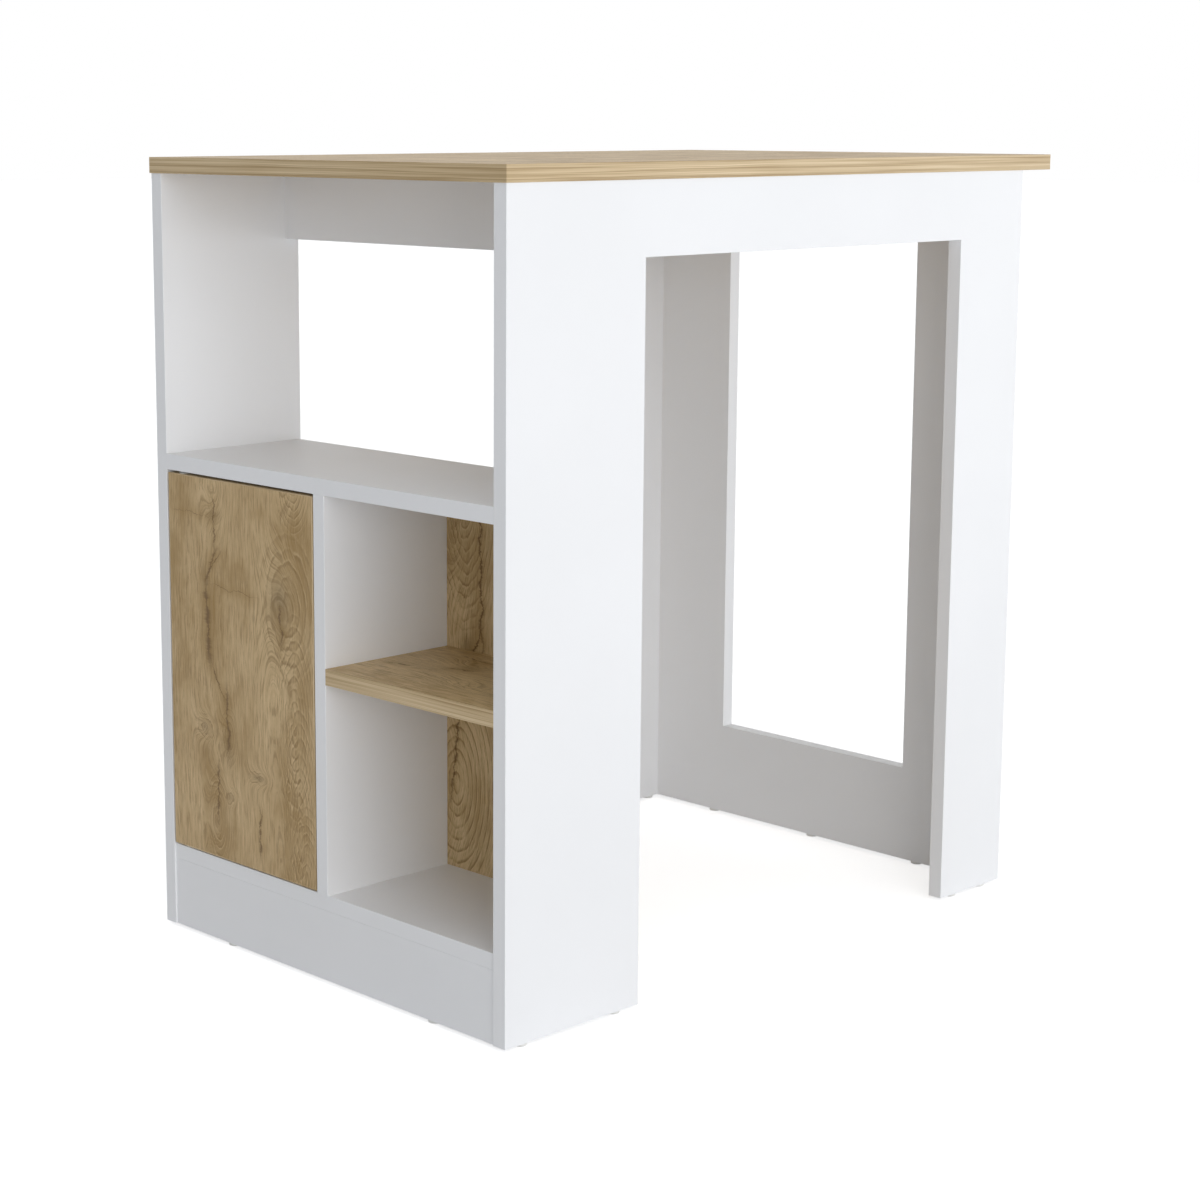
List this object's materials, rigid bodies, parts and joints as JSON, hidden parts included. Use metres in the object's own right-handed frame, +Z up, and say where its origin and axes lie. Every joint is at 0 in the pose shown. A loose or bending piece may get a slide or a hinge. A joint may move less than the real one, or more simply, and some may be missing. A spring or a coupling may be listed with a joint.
{
  "type": "kitchen island",
  "caption": "Free-standing kitchen island: oak top on white U-shaped sides, knee space with a window end, and an end cabinet with niche, push-open door and open shelf.",
  "frame": {"origin": "on the floor, under the middle of the countertop", "axes": "+X along the countertop from the cabinet front to the open end, +Y from the near long side to the far one, +Z up"},
  "size_m": [0.91, 0.583, 0.9],
  "materials": {
    "white_melamine": "white melamine-faced particle board, fine satin texture",
    "white_edging": "white plastic edge band, satin",
    "oak_melamine": "rustic oak melamine-faced particle board, satin",
    "oak_edging": "oak-look plastic edge band, satin",
    "white_nylon": "white moulded nylon",
    "grey_plastic": "light grey moulded plastic",
    "zinc_cast": "zinc die-cast, dull",
    "steel": "zinc-plated steel",
    "nickel_magnet": "nickel-plated magnet",
    "beech": "plain beech dowel"
  },
  "bodies": {
    "carcass": {"countertop": "oak_melamine", "top_edging": "oak_edging", "near_side_panel": "white_melamine", "near_side_edging": "white_edging", "far_side_panel": "white_melamine", "far_side_edging": "white_edging", "end_panel": "white_melamine", "end_panel_edging": "white_edging", "niche_floor": "white_melamine", "bottom_board": "white_melamine", "kick_plate": "white_melamine", "divider": "white_melamine", "back_panel": "oak_melamine", "back_apron": "white_melamine", "cabinet_edging": "white_edging", "open_shelf": "oak_melamine", "shelf_edging": "oak_edging", "board_bushes": "white_nylon", "latch_housing": "grey_plastic", "latch_screws": "steel", "latch_spring": "steel", "cam_locks": "zinc_cast", "cam_bolts": "steel", "wood_dowels": "beech", "cam_caps": "white_nylon", "floor_glides": "white_nylon", "glide_nails": "steel"},
    "door": {"door_panel": "oak_melamine", "door_edging": "oak_edging", "door_pivot_pins": "steel", "door_bushes": "white_nylon", "strike_plate": "steel"},
    "plunger": {"latch_plunger": "grey_plastic", "latch_magnet": "nickel_magnet"}
  },
  "joints": [
    {"name": "door_swing", "type": "hinge", "parent": "carcass", "child": "door", "pos_m": [-0.4445, 0.25025, 0.32], "axis": [0, 0, -1], "range_deg": [0, 130]},
    {"name": "latch_press", "type": "slide", "parent": "carcass", "child": "plunger", "axis": [1, 0, 0], "range_m": [0, 0.003], "stiffness_N_per_m": 200, "deforming": ["latch_spring"]}
  ]
}
